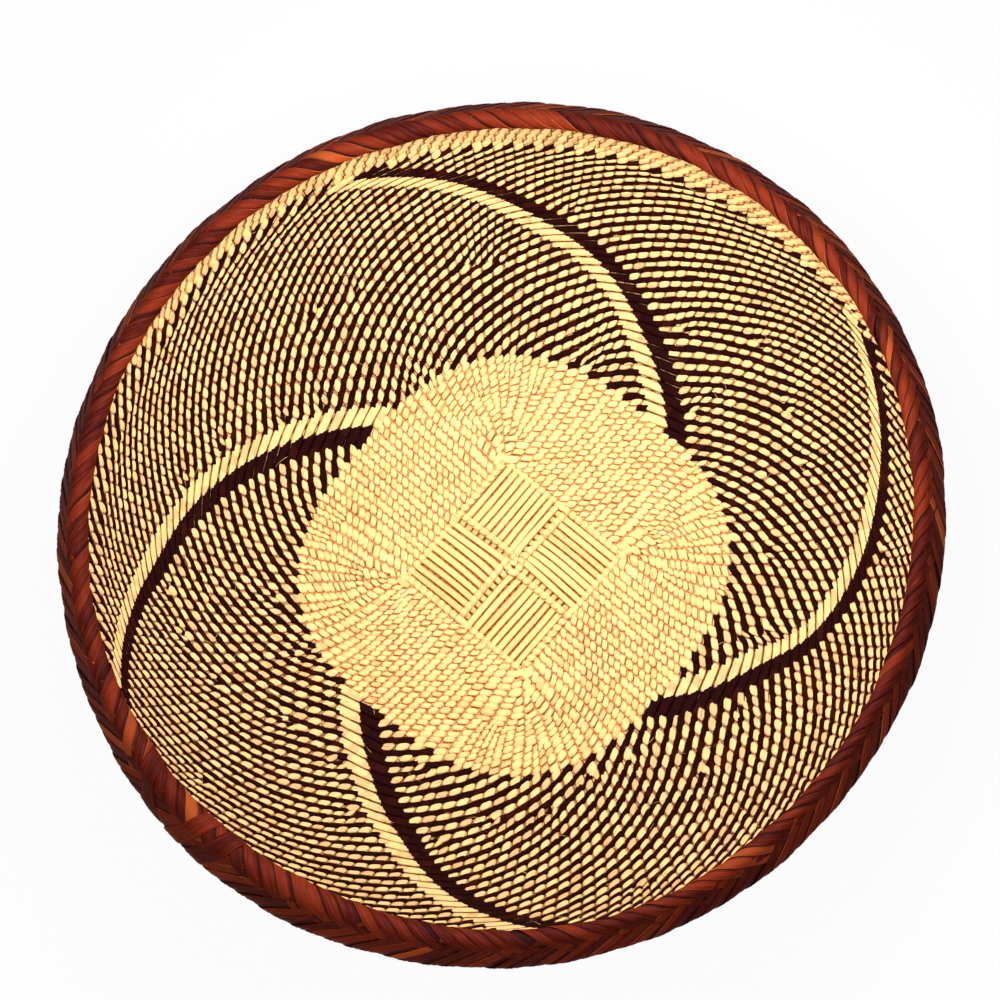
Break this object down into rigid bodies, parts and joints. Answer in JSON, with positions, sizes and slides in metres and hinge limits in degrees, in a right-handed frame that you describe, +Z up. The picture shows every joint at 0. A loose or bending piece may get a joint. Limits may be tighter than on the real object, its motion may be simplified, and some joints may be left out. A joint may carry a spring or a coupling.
{
  "type": "woven basket bowl",
  "caption": "Shallow round bowl twined from palm splints, with a natural centre, a dark and pale striped wall, four spiral bands and a thick plaited bark rim.",
  "frame": {"origin": "under the middle of the bowl, on the surface that it rests on", "axes": "+Z up out of the bowl's mouth; +X to the right and -Y to the near side in the pictured view"},
  "size_m": [0.3794, 0.3794, 0.0775],
  "materials": {
    "palm_splint": "satin split palm",
    "natural_palm": "matte twined palm",
    "striped_palm": "matte twined palm, pale and dark strands by turns",
    "dark_palm": "matte dyed palm",
    "hoop_wood": "raw split wood",
    "bark_strip": "glossy dark bark strip"
  },
  "bodies": {
    "root": {"stake_across_01": "palm_splint", "stake_across_02": "palm_splint", "stake_across_03": "palm_splint", "stake_across_04": "palm_splint", "stake_across_05": "palm_splint", "stake_across_06": "palm_splint", "stake_across_07": "palm_splint", "stake_across_08": "palm_splint", "stake_across_09": "palm_splint", "stake_across_10": "palm_splint", "stake_across_11": "palm_splint", "stake_across_12": "palm_splint", "stake_across_13": "palm_splint", "stake_across_14": "palm_splint", "stake_across_15": "palm_splint", "stake_across_16": "palm_splint", "stake_across_17": "palm_splint", "stake_across_18": "palm_splint", "stake_along_01": "palm_splint", "stake_along_02": "palm_splint", "stake_along_03": "palm_splint", "stake_along_04": "palm_splint", "stake_along_05": "palm_splint", "stake_along_06": "palm_splint", "stake_along_07": "palm_splint", "stake_along_08": "palm_splint", "stake_along_09": "palm_splint", "stake_along_10": "palm_splint", "stake_along_11": "palm_splint", "stake_along_12": "palm_splint", "stake_along_13": "palm_splint", "stake_along_14": "palm_splint", "stake_along_15": "palm_splint", "stake_along_16": "palm_splint", "stake_along_17": "palm_splint", "stake_along_18": "palm_splint", "corner_stake_right_1": "palm_splint", "corner_stake_right_2": "palm_splint", "corner_stake_right_3": "palm_splint", "corner_stake_back_1": "palm_splint", "corner_stake_back_2": "palm_splint", "corner_stake_back_3": "palm_splint", "corner_stake_left_1": "palm_splint", "corner_stake_left_2": "palm_splint", "corner_stake_left_3": "palm_splint", "corner_stake_front_1": "palm_splint", "corner_stake_front_2": "palm_splint", "corner_stake_front_3": "palm_splint", "base_weft_inside": "natural_palm", "base_weft_outside": "natural_palm", "border_weft_inside": "natural_palm", "border_weft_outside": "natural_palm", "lower_wall_weft_inside": "striped_palm", "lower_wall_weft_outside": "striped_palm", "upper_wall_weft_inside": "striped_palm", "upper_wall_weft_outside": "striped_palm", "inner_hoop": "hoop_wood", "outer_hoop": "hoop_wood", "rim_plait": "bark_strip"}
  },
  "joints": []
}
